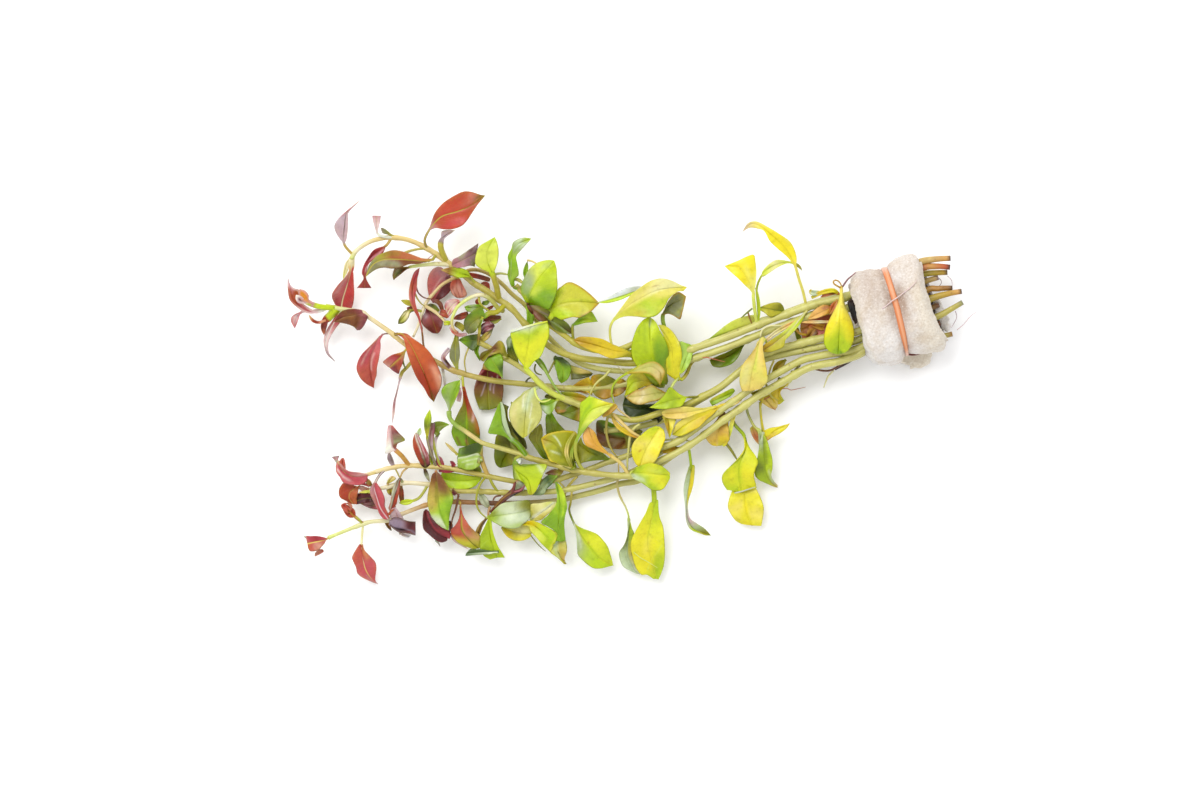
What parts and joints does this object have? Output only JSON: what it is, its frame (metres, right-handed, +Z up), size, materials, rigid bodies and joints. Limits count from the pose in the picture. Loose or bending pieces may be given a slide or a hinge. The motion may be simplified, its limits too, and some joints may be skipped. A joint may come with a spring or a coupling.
{
  "type": "ludwigia repens bunch",
  "caption": "Tied bunch of cut aquarium plant stems lying flat, red tips to yellow lower leaves, wrapped in foam and a rubber band.",
  "frame": {"origin": "on the table below the middle of the bunch's outline", "axes": "+X along the bunch, from the growing tips towards the cut ends; +Y across it; +Z up from the table"},
  "size_m": [0.2256, 0.1303, 0.0265],
  "materials": {
    "foam": "greyish beige open-cell foam, speckled",
    "band": "matte orange rubber",
    "stem": "satin olive to tan plant stem",
    "brown_leaf": "satin brown leaf",
    "coral_leaf": "satin coral leaf",
    "crimson_leaf": "satin crimson leaf",
    "green_leaf": "satin green leaf",
    "lime_leaf": "satin lime leaf",
    "olive_leaf": "satin olive leaf",
    "pale_olive_leaf": "satin pale olive leaf",
    "pale_yellow_leaf": "satin pale yellow leaf",
    "pink_leaf": "satin pink leaf",
    "rust_leaf": "satin rust leaf",
    "yellow_leaf": "satin yellow leaf"
  },
  "bodies": {
    "root": {"foam_wrap": "foam", "rubber_band": "band", "upper_front_stem": "stem", "upper_red_stem": "stem", "upper_green_stem": "stem", "middle_red_stem": "stem", "middle_lime_stem": "stem", "middle_short_stem": "stem", "lower_front_stem": "stem", "lower_tan_stem": "stem", "lower_brown_stem": "stem", "lower_orange_stem": "stem", "red_hanging_leaf": "crimson_leaf", "rust_long_leaf": "rust_leaf", "big_orange_leaf": "rust_leaf", "lime_square_leaf": "lime_leaf", "crimson_round_leaf": "crimson_leaf", "golden_leaf": "yellow_leaf", "pale_yellow_leaf": "pale_yellow_leaf", "grey_under_leaf": "olive_leaf", "bright_top_leaf": "yellow_leaf", "long_yellow_leaf": "yellow_leaf", "drop_leaf": "yellow_leaf", "curled_green_leaf": "green_leaf", "large_lime_leaf": "lime_leaf", "round_lime_leaf": "lime_leaf", "pink_tail_leaf": "pink_leaf", "coral_leaf": "coral_leaf", "big_rust_leaf": "rust_leaf", "rust_olive_leaf": "rust_leaf", "soft_yellow_leaf": "yellow_leaf", "round_green_leaf": "green_leaf", "lime_cup_leaf": "lime_leaf", "big_brown_leaf": "brown_leaf", "glossy_olive_leaf": "pale_olive_leaf", "lime_corner_leaf": "lime_leaf", "side_yellow_leaf": "pale_yellow_leaf", "dark_brown_leaf": "brown_leaf", "lime_twist_leaf": "lime_leaf", "round_olive_leaf": "olive_leaf", "broad_olive_leaf": "olive_leaf", "upper_pair_leaf": "yellow_leaf", "lower_pair_leaf": "yellow_leaf", "hanging_olive_leaf": "olive_leaf", "twisted_tail_leaf": "lime_leaf", "front_yellow_leaf": "lime_leaf", "green_flag_leaf": "green_leaf", "bright_oval_leaf": "yellow_leaf", "yellow_fold_leaf": "yellow_leaf", "red_blade_leaf": "crimson_leaf", "big_painted_leaf": "green_leaf", "vivid_long_leaf": "green_leaf", "bright_corner_leaf": "lime_leaf", "coral_bell_leaf": "coral_leaf", "lime_cross_leaf": "lime_leaf", "low_red_leaf": "coral_leaf", "big_sage_leaf": "pale_olive_leaf", "low_yellow_leaf": "yellow_leaf", "green_spoon_leaf": "lime_leaf", "long_hanging_leaf": "yellow_leaf"}
  },
  "joints": []
}
